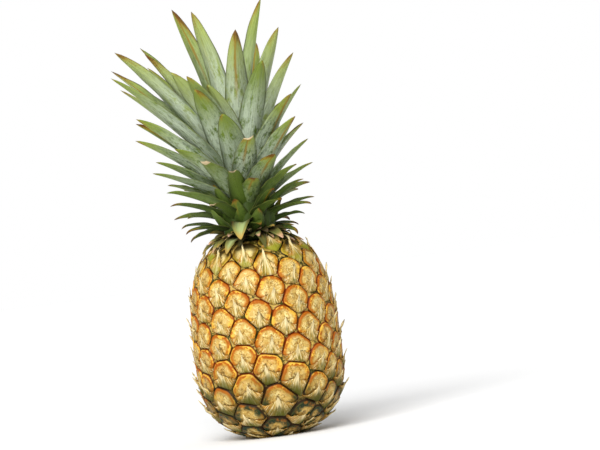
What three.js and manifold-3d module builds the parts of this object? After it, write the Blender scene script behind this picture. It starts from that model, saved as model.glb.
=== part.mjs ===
// A ripe pineapple with its crown of leaves, standing upright on its cut base.
//
// Millimetres, +Z up along the fruit's axis, the origin on the axis at the cut base, the front facing -Y.
// fruit  barrel whose rind is one skin of raised eyes, set on the two crossing spirals of a real fruit;
//        each eye has a rounded rim, a pit and a pointed bract that rises from its lower edge
// crown  rosette of channelled leaves fused to the packed roots at its heart: low leaves short and arched,
//        high ones long and upright, with short sheaths that clasp the heart between them; the whole rosette
//        bends a little towards -X
// stalk  stub of the fruit's stalk, cut flush with the base
import * as THREE from "three";
import { mergeVertices } from "three/addons/utils/BufferGeometryUtils.js";
import Module from "manifold-3d";

const wasm = await Module();
wasm.setup();

// ---- driving dimensions ----
const DEGREE = Math.PI / 180;
const CLEARANCE = 0.3; // gap between touching pieces

// The barrel, measured at the bottom of the grooves between the eyes.
const GROOVE_RADIUS = 56.4;
const WIDEST_HEIGHT = 65;
const BARREL_FOOT = 1.2;
const BARREL_TOP = 155;
const PROFILE_STEPS = 600; // in the survey of the skin
const LOWER = { reach: 67, bulge: 3.2, round: 0.62 };
const UPPER = { reach: 93, bulge: 3.0, round: 0.34 };

// The eyes: each takes the same share of the skin, one divergence angle round from the last.
const EYE_AREA = 372;
const EYE_DIVERGENCE = -137.2 * DEGREE;
const EYE_PHASE = -152.1 * DEGREE; // turns the whole lattice, measured from the front
const EYE_NEIGHBOURS = 50; // how many eyes before and after can touch one
const EYE_LIMIT = 1.5; // radians either way, which no eye reaches
const RIM_SHARE = 0.76; // the rim's place between an eye's middle and its groove
const RIM_HEIGHT = 2.2;
const PIT_HEIGHT = 1.4;
const PIT_RISE = 0.2; // the pit's place above the middle, as a share of the way to the groove
const BRACT_TIP_HEIGHT = 4.2;
const TOP_BRACT_TIP_HEIGHT = 7;
const TOP_EYES = 16; // how many of the last eyes carry the longer bracts

// Eyes that a real fruit grew a little off its spirals, as seen from the front:
// [steps from the middle eye, distance across, height].
const MIDDLE_EYE = 96;
const GROWN_EYES = [
  [42, -8, 143.5], [34, 8, 136.5], [29, -21, 134], [26, 26.5, 129.5], [24, -43, 129.5],
  [21, -9, 125.5], [13, 9.5, 116.5], [16, -32.5, 119], [5, 28.5, 107], [8, -19, 109.5], [3, -46, 107.5],
  [0, -3, 99.5], [-8, 17, 92.5], [-16, 36, 85.5], [-5, -32, 96], [-13, -17, 86.5], [-21, 3.5, 77.5],
  [-29, 24.5, 69], [-37, 42, 59.5], [-18, -49, 86.5], [-26, -37, 77], [-34, -19.5, 66.5], [-42, -1, 57],
  [-50, 20, 47.5], [-58, 36.5, 37.5], [-39, -50, 67], [-47, -36, 56], [-55, -19, 42.5], [-63, 4.5, 31.5],
  [-71, 23, 18.5], [-60, -52, 47.5], [-68, -40, 34], [-76, -22, 21], [-84, -0.5, 10],
];
const GROWN_REACH = 0.34; // how far round a grown eye's neighbours follow it, in radians
const GROWN_HOLD = 0.3; // how firmly the spirals hold an eye that follows its neighbours

// The stalk and the socket that it fills.
const STALK_RADIUS = 13;
const STALK_LENGTH = 9;
const STALK_SIDES = 24;
const CUT_MARGIN = 20; // how far a cutting solid stands past what it cuts

// The crown's heart: its stem with the packed roots and young leaves, as [rise, radius] pairs.
const CROWN_FOOT = BARREL_TOP + CLEARANCE;
const HEART = [
  [0, 18],
  [8, 21],
  [30, 22],
  [56, 18],
  [78, 11],
  [92, 4],
];
const HEART_SIDES = 16;
const CROWN_OFFSET = 2.5; // how far the crown's foot stands off the axis towards -X
const CROWN_BEND = 18; // how much farther off its middle is at the height below
const CROWN_BEND_RISE = 145;

// The crown's leaves, numbered from the lowest and outermost.
const LEAVES = 88;
const LEAF_DIVERGENCE = 137.508 * DEGREE;
const LEAF_PHASE = 66 * DEGREE;
const LEAF_ROOT_RADII = [12, 3]; // where the lowest and the highest root start, from the crown's middle
const LEAF_ROOT_RISES = [3, 56];
const LEAF_THICK_ROOT = 2.6;
const LEAF_THICK_TIP = 1.1;
const LEAF_TAPERS = [2, 4]; // how late the lowest and the highest leaf narrow towards their tips
const LEAF_TAPER_ROUND = 0.75;
const LEAF_SHOULDER = 0.3; // the share of the way to the tip where a leaf is widest
const LEAF_ROOT_SHARE = 0.6; // the root's width as a share of the leaf's
const LEAF_CHANNEL = 0.2; // depth of the channel as a share of the width
const LONG_LEAF = 100; // a leaf this long takes the larger number of sections
const LEAF_SECTIONS = [4, 5];
const LEAF_TWIST = 30 * DEGREE; // between the farthest twists either way
const TIP_SCATTER = 6; // between the highest and the lowest that a tip's rise can be
const WIDTH_SCATTER = 0.12; // the same for the width and the arch, as shares of them
const ARCH_SCATTER = 0.4;
const RANDOM_SEED = 7;

// The leaves from the lowest to the highest, evenly spaced: how far from the crown's middle their tips
// reach, how high the tips rise above its foot, how wide the blades are and how much they arch.
const TIP_REACHES = [44, 50, 54, 58, 63, 68, 73, 75, 70, 50, 16];
const TIP_RISES = [4, 12, 26, 42, 60, 82, 106, 130, 152, 168, 176];
const LEAF_WIDTHS = [13, 14, 16, 19, 22, 23, 25, 26, 26, 24, 20];
const LEAF_ARCHES = [30, 22, 18, 15, 12, 10, 9, 8, 7, 6, 5];

// Tips that grew off the rule, most of them at the front: [distance across, distance back, rise], and for
// a leaf that was cut short the share of it that is left.
const GROWN_TIPS = [
  [-42, 28, 195], [-25, -30, 187], [8, -38, 168], [31, 16, 194], [22, 58, 162], [42, -30, 166],
  [26, -62, 140], [51, -42, 144], [-72, 38, 168], [-65, -50, 157], [-88, -55, 161], [-99, 62, 154],
  [-94, -45, 142], [-90, -5, 134], [-34, -66, 135], [-46, -58, 140], [-29, -68, 124], [-79, -35, 108],
  [-83, 30, 107], [-83, -10, 92], [-69, -15, 73], [-72, -30, 64], [-51, -58, 80], [-62, -10, 54],
  [-63, -28, 48], [-62, -20, 38], [-61, -5, 26], [-57, 12, 19], [-53, -20, 14], [-51, 0, 7],
  [-10, -72, 102], [8, -70, 80, 0.9], [-30, -58, 67, 0.95], [-8, -62, 57, 0.9], [-28, -48, 34, 0.94],
  [26, -60, 66], [8, -58, 50], [22, -54, 41], [27, -50, 31], [8, -45, 13], [-8, -46, 6],
  [54, -8, 120], [45, -45, 112], [46, -42, 94], [52, 15, 90], [54, -12, 76], [55, -22, 57], [42, -46, 57],
  [46, -32, 45], [51, 4, 42], [41, 36, 38], [53, 2, 30], [50, -22, 25], [44, -10, 18], [38, 14, 10],
  [37, -26, 3], [-19, -55, 127], [-44, 0, 134], [-38, -20, 128], [-4, 8, 134], [-62, 18, 112],
  [42, 28, 58], [36, 38, 110], [32, 22, 140], [-8, 50, 138], [-40, 60, 126], [-44, 66, 138],
  [-67, 10, 150], [-35, 35, 171],
];

// The sheaths: short broad leaves that clasp the heart, on the same spiral.
const SHEATHS = 26;
const SHEATH_PHASE = 20 * DEGREE;
const SHEATH_ROOT_RADIUS = 13;
const SHEATH_ROOT_RISES = [1, 48];
const SHEATH_REACHES = [31, 30, 28, 24]; // of their tips, from the crown's middle
const SHEATH_RISE = 27; // of a tip above its root
const SHEATH_WIDTH = 19;
const SHEATH_ARCH = -18 * DEGREE; // below 0: it starts flat and ends upright

// ---- small helpers ----
function between(values, share) {
  const place = THREE.MathUtils.clamp(share, 0, 1) * (values.length - 1);
  const low = Math.min(Math.floor(place), values.length - 2);
  return THREE.MathUtils.lerp(values[low], values[low + 1], place - low);
}

function seededRandom(seed) {
  let state = seed;
  return () => {
    state = (state * 1664525 + 1013904223) % 4294967296;
    return state / 4294967296;
  };
}

function toSolid(geometry) {
  const bare = geometry.clone();
  bare.deleteAttribute("normal");
  bare.deleteAttribute("uv");
  const merged = mergeVertices(bare, 1e-4);
  const vertProperties = Float32Array.from(merged.attributes.position.array);
  const triVerts = Uint32Array.from(merged.index.array);
  return new wasm.Manifold(new wasm.Mesh({ numProp: 3, vertProperties, triVerts }));
}

function toGeometry(solid) {
  const { numProp, vertProperties, triVerts } = solid.getMesh();
  const positions = new Float32Array((vertProperties.length / numProp) * 3);
  for (let i = 0; i < positions.length / 3; i++) {
    positions.set(vertProperties.subarray(i * numProp, i * numProp + 3), i * 3);
  }
  const geometry = new THREE.BufferGeometry();
  geometry.setAttribute("position", new THREE.BufferAttribute(positions, 3));
  geometry.setIndex(new THREE.BufferAttribute(Uint32Array.from(triVerts), 1));
  geometry.computeVertexNormals();
  return geometry;
}

function meshFrom(positions, triangles) {
  const geometry = new THREE.BufferGeometry();
  geometry.setAttribute("position", new THREE.Float32BufferAttribute(positions.flat(), 3));
  geometry.setIndex(triangles.flat());
  return geometry;
}

// A solid of revolution about +Z from [radius, height] pairs, both ends on the axis.
function turned(profile, sides) {
  const points = profile.map(([radius, height]) => new THREE.Vector2(radius, height));
  return new THREE.LatheGeometry(points, sides).rotateX(Math.PI / 2);
}

// ---- the barrel's skin ----
function grooveRadius(height) {
  const { reach, bulge, round } = height < WIDEST_HEIGHT ? LOWER : UPPER;
  const away = Math.abs(height - WIDEST_HEIGHT) / reach;
  return GROOVE_RADIUS * (1 - away ** bulge) ** round;
}

// The profile in small steps, each with the skin's area below it and its height on a map of the skin
// that keeps angles: there one radian round the barrel is as long as one unit up it.
function surveyProfile() {
  const rows = [];
  for (let i = 0; i <= PROFILE_STEPS; i++) {
    const share = (1 - Math.cos((Math.PI * i) / PROFILE_STEPS)) / 2; // small steps at both ends
    const height = THREE.MathUtils.lerp(BARREL_FOOT, BARREL_TOP, share);
    const row = { height, radius: grooveRadius(height), area: 0, map: 0 };
    const last = rows[i - 1];
    if (last) {
      const run = Math.hypot(row.height - last.height, row.radius - last.radius);
      const radius = (row.radius + last.radius) / 2;
      row.area = last.area + 2 * Math.PI * radius * run;
      row.map = last.map + run / radius;
    }
    rows.push(row);
  }
  return rows;
}

const profile = surveyProfile();
const SKIN_AREA = profile.at(-1).area;
const MAP_TOP = profile.at(-1).map;

function profileAt(key, value) {
  let low = 0;
  let high = profile.length - 1;
  while (high - low > 1) {
    const middle = (low + high) >> 1;
    if (profile[middle][key] <= value) low = middle;
    else high = middle;
  }
  const [a, b] = [profile[low], profile[high]];
  const share = (value - a[key]) / (b[key] - a[key]);
  const run = Math.hypot(b.height - a.height, b.radius - a.radius);
  return {
    radius: THREE.MathUtils.lerp(a.radius, b.radius, share),
    height: THREE.MathUtils.lerp(a.height, b.height, share),
    map: THREE.MathUtils.lerp(a.map, b.map, share),
    out: (b.height - a.height) / run,
    up: (a.radius - b.radius) / run,
  };
}

// A point of the map, lifted off the skin along its normal. Angle 0 is the front.
function onSkin([angle, map], lift = 0) {
  const at = profileAt("map", THREE.MathUtils.clamp(map, 0, MAP_TOP));
  const radius = at.radius + at.out * lift;
  return [radius * Math.sin(angle), -radius * Math.cos(angle), at.height + at.up * lift];
}

// ---- the eyes ----
// The turn from one angle to another by the shorter way round.
function turnTo(from, to) {
  const turn = (to - from) % (2 * Math.PI);
  if (turn > Math.PI) return turn - 2 * Math.PI;
  return turn < -Math.PI ? turn + 2 * Math.PI : turn;
}

// The eyes on their spirals, as points of the map.
function spiralEyes() {
  const count = Math.floor(SKIN_AREA / EYE_AREA);
  return Array.from({ length: count }, (_, i) => {
    const { map } = profileAt("area", (i + 0.5) * EYE_AREA);
    return [EYE_PHASE + i * EYE_DIVERGENCE, map];
  });
}

// The eyes where they grew: the listed ones at their own places, their neighbours drawn along.
function eyeCentres() {
  const spiral = spiralEyes();
  const moves = new Map();
  GROWN_EYES.forEach(([step, across, height]) => {
    const { radius, map } = profileAt("height", height);
    const [angle, level] = spiral[MIDDLE_EYE + step];
    const grownAngle = Math.asin(across / (radius + RIM_HEIGHT));
    moves.set(MIDDLE_EYE + step, [turnTo(angle, grownAngle), map - level]);
  });
  return spiral.map(([angle, map], i) => {
    if (moves.has(i)) return [angle + moves.get(i)[0], map + moves.get(i)[1]];
    let weights = GROWN_HOLD;
    let turn = 0;
    let climb = 0;
    moves.forEach((move, j) => {
      const away = Math.hypot(turnTo(angle, spiral[j][0]), map - spiral[j][1]) / GROWN_REACH;
      const weight = Math.exp(-(away ** 2));
      weights += weight;
      turn += weight * move[0];
      climb += weight * move[1];
    });
    return [angle + turn / weights, map + climb / weights];
  });
}

// Cuts a convex outline by the line of points nearer to the middle [0, 0] than to the other point.
// Each corner carries the name of the line that leaves it.
function cutOutline(outline, [x, y], name) {
  const limit = (x * x + y * y) / 2;
  const side = ({ point }) => point[0] * x + point[1] * y - limit;
  const kept = [];
  outline.forEach((corner, i) => {
    const next = outline[(i + 1) % outline.length];
    const [here, there] = [side(corner), side(next)];
    const share = here / (here - there);
    const crossing = corner.point.map((value, axis) => value + (next.point[axis] - value) * share);
    if (here <= 0) kept.push(corner);
    if (here <= 0 && there > 0) kept.push({ point: crossing, line: name });
    if (here > 0 && there <= 0) kept.push({ point: crossing, line: corner.line });
  });
  return kept;
}

// The outline of one eye: the part of the map nearer to it than to any other eye.
function eyeOutline(centres, i) {
  const [angle, map] = centres[i];
  let outline = [
    { point: [-EYE_LIMIT, -map], line: "foot" },
    { point: [EYE_LIMIT, -map], line: "side" },
    { point: [EYE_LIMIT, MAP_TOP - map], line: "top" },
    { point: [-EYE_LIMIT, MAP_TOP - map], line: "side" },
  ];
  for (let j = Math.max(0, i - EYE_NEIGHBOURS); j < Math.min(centres.length, i + EYE_NEIGHBOURS); j++) {
    if (j === i) continue;
    outline = cutOutline(outline, [turnTo(angle, centres[j][0]), centres[j][1] - map], j);
  }
  return outline.map(({ point, line }, k) => {
    const before = outline[(k + outline.length - 1) % outline.length].line;
    return { point: [angle + point[0], map + point[1]], lines: [before, line] };
  });
}

function buildFruit() {
  const centres = eyeCentres();
  const positions = [];
  const triangles = [];
  const shared = new Map(); // corners and edge middles that neighbouring eyes share
  const feet = new Map();
  const tops = new Map();

  function add(place, lift) {
    positions.push(onSkin(place, lift));
    return positions.length - 1;
  }
  function share(names, place) {
    const key = names.map(String).sort().join();
    if (!shared.has(key)) shared.set(key, add(place, 0));
    const index = shared.get(key);
    const turn = turnTo(0, place[0]);
    if (names.includes("foot")) feet.set(index, turn);
    if (names.includes("top")) tops.set(index, turn);
    return index;
  }

  centres.forEach((centre, i) => {
    const corners = eyeOutline(centres, i);
    const groove = [];
    const rim = [];
    corners.forEach(({ point, lines }, k) => {
      const next = corners[(k + 1) % corners.length].point;
      const middle = [(point[0] + next[0]) / 2, (point[1] + next[1]) / 2];
      groove.push({ place: point, index: share([i, ...lines], point) });
      groove.push({ place: middle, index: share([i, lines[1]], middle) });
    });
    const reach = Math.max(...groove.map(({ place }) => place[1] - centre[1]));
    groove.forEach(({ place }) => {
      const inner = place.map((value, axis) => THREE.MathUtils.lerp(centre[axis], value, RIM_SHARE));
      rim.push({ place: inner, index: add(inner, RIM_HEIGHT) });
    });
    const isTop = i >= centres.length - TOP_EYES;
    const tip = add(centre, isTop ? TOP_BRACT_TIP_HEIGHT : BRACT_TIP_HEIGHT);
    const pit = add([centre[0], centre[1] + PIT_RISE * reach], PIT_HEIGHT);
    const hub = rim.map(({ place }) => (place[1] > centre[1] ? pit : tip));
    rim.forEach(({ index }, k) => {
      const next = (k + 1) % rim.length;
      triangles.push([groove[k].index, groove[next].index, rim[next].index]);
      triangles.push([groove[k].index, rim[next].index, index]);
      triangles.push([index, rim[next].index, hub[k]]);
      if (hub[k] !== hub[next]) triangles.push([rim[next].index, hub[next], hub[k]]);
    });
  });

  closeEnd(feet, 0, true);
  closeEnd(tops, MAP_TOP, false);
  function closeEnd(ring, map, isFoot) {
    const middle = positions.push([0, 0, profileAt("map", map).height]) - 1;
    const round = [...ring].sort((a, b) => a[1] - b[1]).map(([index]) => index);
    round.forEach((index, k) => {
      const next = round[(k + 1) % round.length];
      triangles.push(isFoot ? [middle, next, index] : [middle, index, next]);
    });
  }

  const rind = new wasm.Manifold(
    new wasm.Mesh({
      numProp: 3,
      vertProperties: Float32Array.from(positions.flat()),
      triVerts: Uint32Array.from(triangles.flat()),
    }),
  );
  const groundWidth = 2 * (GROOVE_RADIUS + CUT_MARGIN);
  const ground = new THREE.BoxGeometry(groundWidth, groundWidth, CUT_MARGIN).translate(0, 0, -CUT_MARGIN / 2);
  const socket = turned(
    [
      [0, -CUT_MARGIN],
      [STALK_RADIUS + CLEARANCE, -CUT_MARGIN],
      [STALK_RADIUS + CLEARANCE, STALK_LENGTH + CLEARANCE],
      [0, STALK_LENGTH + CLEARANCE],
    ],
    STALK_SIDES,
  );
  return toGeometry(rind.subtract(toSolid(ground)).subtract(toSolid(socket)));
}

// ---- the stalk ----
function buildStalk() {
  return turned(
    [
      [0, 0],
      [STALK_RADIUS, 0],
      [STALK_RADIUS, STALK_LENGTH],
      [0, STALK_LENGTH],
    ],
    STALK_SIDES,
  );
}

// ---- the crown ----
function crownMiddle(rise) {
  return -CROWN_OFFSET - CROWN_BEND * (rise / CROWN_BEND_RISE) ** 2;
}

function buildHeart() {
  const side = HEART.map(([rise, radius]) => [radius, CROWN_FOOT + rise]);
  const heart = turned([[0, side[0][1]], ...side, [0, side.at(-1)[1]]], HEART_SIDES);
  return heart.translate(-CROWN_OFFSET, 0, 0);
}

// The outer surface alone, with the small hollows between fused roots filled.
function withoutHollows(solid) {
  return solid.decompose().reduce((largest, body) => (body.volume() > largest.volume() ? body : largest));
}

// A point at a distance and an angle from the crown's middle, at a rise above its foot.
function crownPoint(angle, reach, rise, middle) {
  return new THREE.Vector3(middle + reach * Math.sin(angle), -reach * Math.cos(angle), CROWN_FOOT + rise);
}

// Every leaf as numbers, each one golden angle round from the last.
function spiralLeaves(random) {
  return Array.from({ length: LEAVES }, (_, n) => {
    const share = n / (LEAVES - 1);
    const angle = LEAF_PHASE + n * LEAF_DIVERGENCE;
    const rootRadius = THREE.MathUtils.lerp(...LEAF_ROOT_RADII, share);
    const rise = between(TIP_RISES, share) + TIP_SCATTER * (random() - 0.5);
    return {
      root: crownPoint(angle, rootRadius, THREE.MathUtils.lerp(...LEAF_ROOT_RISES, share), -CROWN_OFFSET),
      tip: crownPoint(angle, between(TIP_REACHES, share), rise, crownMiddle(rise)),
      width: between(LEAF_WIDTHS, share) * (1 + WIDTH_SCATTER * (random() - 0.5)),
      arch: between(LEAF_ARCHES, share) * DEGREE * (1 + ARCH_SCATTER * (random() - 0.5)),
      twist: (random() - 0.5) * LEAF_TWIST,
      taper: THREE.MathUtils.lerp(...LEAF_TAPERS, share),
      left: 1,
    };
  });
}

// The leaves with the listed tips given to the ones nearest to them, the closest pair first.
function crownLeaves(random) {
  const leaves = spiralLeaves(random);
  const grown = GROWN_TIPS.map(([across, back, rise, left = 1]) => ({
    tip: new THREE.Vector3(across, back, CROWN_FOOT + rise),
    left,
  }));
  const pairs = grown.flatMap((place) => leaves.map((leaf) => [place, leaf, place.tip.distanceTo(leaf.tip)]));
  const matched = new Set();
  pairs.sort((a, b) => a[2] - b[2]);
  pairs.forEach(([place, leaf]) => {
    if (matched.has(place) || matched.has(leaf)) return;
    matched.add(place).add(leaf);
    Object.assign(leaf, place);
  });
  return leaves;
}

function sheaths(random) {
  return Array.from({ length: SHEATHS }, (_, n) => {
    const share = n / (SHEATHS - 1);
    const angle = SHEATH_PHASE + n * LEAF_DIVERGENCE;
    const rootRise = THREE.MathUtils.lerp(...SHEATH_ROOT_RISES, share);
    const rise = rootRise + SHEATH_RISE + TIP_SCATTER * (random() - 0.5);
    return {
      root: crownPoint(angle, SHEATH_ROOT_RADIUS, rootRise, -CROWN_OFFSET),
      tip: crownPoint(angle, between(SHEATH_REACHES, share), rise, crownMiddle(rise)),
      width: SHEATH_WIDTH * (1 + WIDTH_SCATTER * (random() - 0.5)),
      arch: SHEATH_ARCH,
      twist: (random() - 0.5) * LEAF_TWIST,
      taper: LEAF_TAPERS[0],
      left: 1,
    };
  });
}

function leafWidthShare(along, taper) {
  const shoulder = THREE.MathUtils.lerp(LEAF_ROOT_SHARE, 1, Math.min(along / LEAF_SHOULDER, 1));
  return (1 - along ** taper) ** LEAF_TAPER_ROUND * shoulder;
}

// A blade of four-cornered sections: two edges, the back of the midrib and the floor of the channel.
// Its midrib is an arc from the root to the tip.
function buildLeaf({ root, tip, width, arch, twist, taper, left }) {
  const chord = tip.clone().sub(root);
  const sections = LEAF_SECTIONS[chord.length() > LONG_LEAF ? 1 : 0];
  const up = new THREE.Vector3(0, 0, 1);
  const outward = chord.clone().setZ(0).normalize();
  const round = up.clone().cross(outward);
  const slope = Math.atan2(chord.z, Math.hypot(chord.x, chord.y));
  const length = (chord.length() * arch) / Math.sin(arch);
  const centre = root.clone();
  const positions = [];
  const triangles = [];
  const slopeAt = (share) => slope + arch * (1 - 2 * share);
  for (let k = 0; k <= sections; k++) {
    const share = k / sections;
    const along = share * left;
    const pitch = slopeAt(share);
    const inward = outward.clone().multiplyScalar(-Math.sin(pitch)).addScaledVector(up, Math.cos(pitch));
    const roll = twist * share;
    const across = round.clone().multiplyScalar(Math.cos(roll)).addScaledVector(inward, Math.sin(roll));
    const floor = inward.clone().multiplyScalar(Math.cos(roll)).addScaledVector(round, -Math.sin(roll));
    const half = (width / 2) * leafWidthShare(along, taper);
    const thick = THREE.MathUtils.lerp(LEAF_THICK_ROOT, LEAF_THICK_TIP, along);
    const edgeLift = 2 * half * LEAF_CHANNEL;
    const corner = (side, lift) => centre.clone().addScaledVector(across, side).addScaledVector(floor, lift);
    if (along < 1) {
      positions.push(corner(-half, edgeLift).toArray());
      positions.push(corner(0, -thick / 2).toArray());
      positions.push(corner(half, edgeLift).toArray());
      positions.push(corner(0, thick / 2).toArray());
    } else {
      positions.push(centre.toArray());
    }
    const ahead = slopeAt(share + 0.5 / sections);
    const step = length / sections;
    centre.addScaledVector(outward, step * Math.cos(ahead)).addScaledVector(up, step * Math.sin(ahead));
  }
  const rings = Math.floor(positions.length / 4);
  for (let k = 0; k < rings - 1; k++) {
    const [leftEdge, back, rightEdge, floor] = [0, 1, 2, 3].map((c) => 4 * k + c);
    const next = (index) => index + 4;
    triangles.push([leftEdge, back, next(back)], [leftEdge, next(back), next(leftEdge)]);
    triangles.push([back, rightEdge, next(back)], [rightEdge, next(rightEdge), next(back)]);
    triangles.push([floor, leftEdge, next(floor)], [leftEdge, next(leftEdge), next(floor)]);
    triangles.push([rightEdge, floor, next(floor)], [rightEdge, next(floor), next(rightEdge)]);
  }
  triangles.push([0, 3, 1], [1, 3, 2]);
  const last = 4 * (rings - 1);
  if (left < 1) {
    triangles.push([last, last + 1, last + 3], [last + 1, last + 2, last + 3]);
  } else {
    for (let c = 0; c < 4; c++) triangles.push([last + c, last + ((c + 1) % 4), last + 4]);
  }
  return meshFrom(positions, triangles);
}

function buildCrown() {
  const random = seededRandom(RANDOM_SEED);
  const leaves = [...crownLeaves(random), ...sheaths(random)];
  const crown = leaves.reduce((grown, leaf) => grown.add(toSolid(buildLeaf(leaf))), toSolid(buildHeart()));
  return toGeometry(withoutHollows(crown));
}

// ---- the object ----
const finishes = {
  rind: { color: 0xc89a4c, roughness: 0.55, metalness: 0 },
  leaf: { color: 0x7f9a62, roughness: 0.5, metalness: 0 },
  stalk: { color: 0xb59a6a, roughness: 0.85, metalness: 0 },
};

function piece(name, geometry, finish) {
  const mesh = new THREE.Mesh(geometry, new THREE.MeshStandardMaterial({ ...finish, flatShading: true }));
  mesh.name = name;
  return mesh;
}

const pineapple = new THREE.Group();
pineapple.add(piece("fruit", buildFruit(), finishes.rind));
pineapple.add(piece("crown", buildCrown(), finishes.leaf));
pineapple.add(piece("stalk", buildStalk(), finishes.stalk));

export default pineapple;
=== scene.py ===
"""A ripe pineapple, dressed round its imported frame.

Metres, +Z up along the fruit's axis, the front facing -Y. An angle of 0 is the front and grows towards +X.
The rind is one skin of eyes on the spirals that the frame's fruit has, each eye with its papery bract. The
crown's leaves follow the frame's leaves, one by one. The collar is the ring of small dry leaves at its foot.
"""

import math
from dataclasses import dataclass

import bpy
import numpy as np
from mathutils import Matrix, Vector


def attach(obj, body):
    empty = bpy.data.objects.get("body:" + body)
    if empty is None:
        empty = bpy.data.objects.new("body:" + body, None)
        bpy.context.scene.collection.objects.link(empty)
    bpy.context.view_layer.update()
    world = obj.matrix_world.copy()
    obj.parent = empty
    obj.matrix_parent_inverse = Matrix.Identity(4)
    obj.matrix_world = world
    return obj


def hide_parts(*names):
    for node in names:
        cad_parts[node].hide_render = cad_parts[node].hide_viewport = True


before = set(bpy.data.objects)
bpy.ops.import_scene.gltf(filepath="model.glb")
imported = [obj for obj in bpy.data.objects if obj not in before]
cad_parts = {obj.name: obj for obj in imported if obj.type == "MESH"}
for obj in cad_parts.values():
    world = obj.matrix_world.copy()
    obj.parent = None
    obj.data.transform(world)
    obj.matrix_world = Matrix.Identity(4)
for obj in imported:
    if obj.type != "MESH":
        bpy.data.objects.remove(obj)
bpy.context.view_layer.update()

MM = 0.001
DEGREE = math.pi / 180

# ---- the barrel, measured at the bottom of the grooves between the eyes ----
GROOVE_RADIUS = 56.4 * MM
WIDEST_HEIGHT = 65 * MM
BARREL_FOOT = 1.2 * MM
BARREL_TOP = 155 * MM
LOWER_REACH, LOWER_BULGE, LOWER_ROUND = 67 * MM, 3.2, 0.62
UPPER_REACH, UPPER_BULGE, UPPER_ROUND = 93 * MM, 3.0, 0.34
SKIN_STEPS = 600

# ---- the eyes ----
EYE_AREA = 372 * MM ** 2
EYE_DIVERGENCE = -137.2 * DEGREE
EYE_PHASE = -152.1 * DEGREE
EYE_NEIGHBOURS = 50  # how many eyes before and after can touch one
EYE_SIDE = 1.5  # radians round the barrel, further than any eye's outline goes
MIDDLE_EYE = 96
# Eyes that grew a little off the spirals: (steps from the middle eye, distance across, height) in mm.
GROWN_EYES = [
    (42, -8, 143.5), (34, 8, 136.5), (29, -21, 134), (26, 26.5, 129.5), (24, -43, 129.5),
    (21, -9, 125.5), (13, 9.5, 116.5), (16, -32.5, 119), (5, 28.5, 107), (8, -19, 109.5), (3, -46, 107.5),
    (0, -3, 99.5), (-8, 17, 92.5), (-16, 36, 85.5), (-5, -32, 96), (-13, -17, 86.5), (-21, 3.5, 77.5),
    (-29, 24.5, 69), (-37, 42, 59.5), (-18, -49, 86.5), (-26, -37, 77), (-34, -19.5, 66.5), (-42, -1, 57),
    (-50, 20, 47.5), (-58, 36.5, 37.5), (-39, -50, 67), (-47, -36, 56), (-55, -19, 42.5), (-63, 4.5, 31.5),
    (-71, 23, 18.5), (-60, -52, 47.5), (-68, -40, 34), (-76, -22, 21), (-84, -0.5, 10),
]
GROWN_LIFT = 2.2 * MM  # the distances across were taken this far off the skin
GROWN_REACH = 0.34
GROWN_HOLD = 0.3

# An eye's relief: rings from its groove (1) to its middle (0), and the skin's lift on the way.
RINGS = [0.98, 0.96, 0.94, 0.91, 0.87, 0.82, 0.76, 0.69, 0.61, 0.52, 0.43, 0.34, 0.25, 0.16, 0.08]
RELIEF_AT = [0, 0.2, 0.4, 0.6, 0.75, 0.85, 0.9, 0.94, 1]
RELIEF = np.array([2.0, 2.3, 2.4, 2.4, 2.7, 2.7, 2.4, 1.8, 0.5]) * MM
FILL_LIFT = 1.1 * MM  # how much shallower the groove is where three eyes meet
BROW_LIFT = 0.5 * MM  # of the upper half of the rim; the lower half sinks as far
LOBE_LIFT = 0.45 * MM
CREASE_DEPTH = 0.4 * MM
LUMP_LIFT = 0.22 * MM
LUMP_WAVES = (2, 3, 5, 7)  # how many lumps go round an eye, laid over one another
BOUNDARY_STEP = 1.9 * MM  # between the points along an eye's outline
ROUND_SHARE = 0.94  # the ring that follows the eye's rounded outline
ROUND_HEIGHTS = (-0.4, 0.2)  # where, in mean radii from the middle, the lower limit gives way to the upper
ROUND_LIMITS = (1.25, 1.0)  # how far out, in mean radii, that outline reaches below and above
ROUND_TURNS = 3  # how often that outline is smoothed
CORNER_REACH = 0.15  # how far past the rounded outline an eye goes where it is all corner
TINY = 1e-6  # keeps a division by the gap between two outlines safe where they meet
BARE = {"across": 0, "above": 0, "tint": 0.5, "lip": 9}  # what the skin's measures say outside every eye

# ---- the bracts; shares are of an eye's mean radius ----
BRACT_SHEET = 0.35 * MM
BRACT_CLEAR = 0.3 * MM
BRACT_COLUMNS = 23
BRACT_ROWS = 9
BRACT_ACROSS = np.linspace(-1, 1, BRACT_COLUMNS)
BRACT_ALONG = np.linspace(0, 1, BRACT_ROWS)[:, None]
BRACT_SPREAD = 0.97  # how far its wings reach out to the eye's lower corners
BRACT_BASE = 0.975
BRACT_FALLS, LOW_RISE = (0.3, 0.5), 0.25  # how far down the wings end, and how much less on the lowest
WING_LIFTS = (0.05, 0.18)  # how far the wings' ends turn up, on most bracts and on the lowest
BRACT_APEXES, TOP_APEXES = (-0.1, 0.1), (0.5, 0.85)  # how high the blade reaches
BRACT_HOLLOWS, TOP_HOLLOW = (1.7, 2.6), 1.2  # how hollow the margin's two sides are
BRACT_SPINES = (0.12, 0.35)
BRACT_CORNER = 0.08  # how unevenly high the wings end
BRACT_FRINGE = 0.03  # how ragged the margin is
BRACT_LEAN = 0.16
BRACT_TIPS, TOP_TIP = (1.0 * MM, 4.6 * MM), 3.6 * MM  # how far the spine lifts off the eye
BRACT_CURLS = (0.14 * MM, 1.05 * MM)  # how far the rest of the margin does
BRACT_RIDGE, BRACT_FOLD, BRACT_ARCH = 0.5 * MM, 0.28 * MM, 0.3 * MM
TOP_EYES = 16  # how many of the last eyes carry longer bracts
LOW_HEIGHTS = (25 * MM, 50 * MM)  # where the broader bracts of the lowest eyes give way to the others

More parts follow.
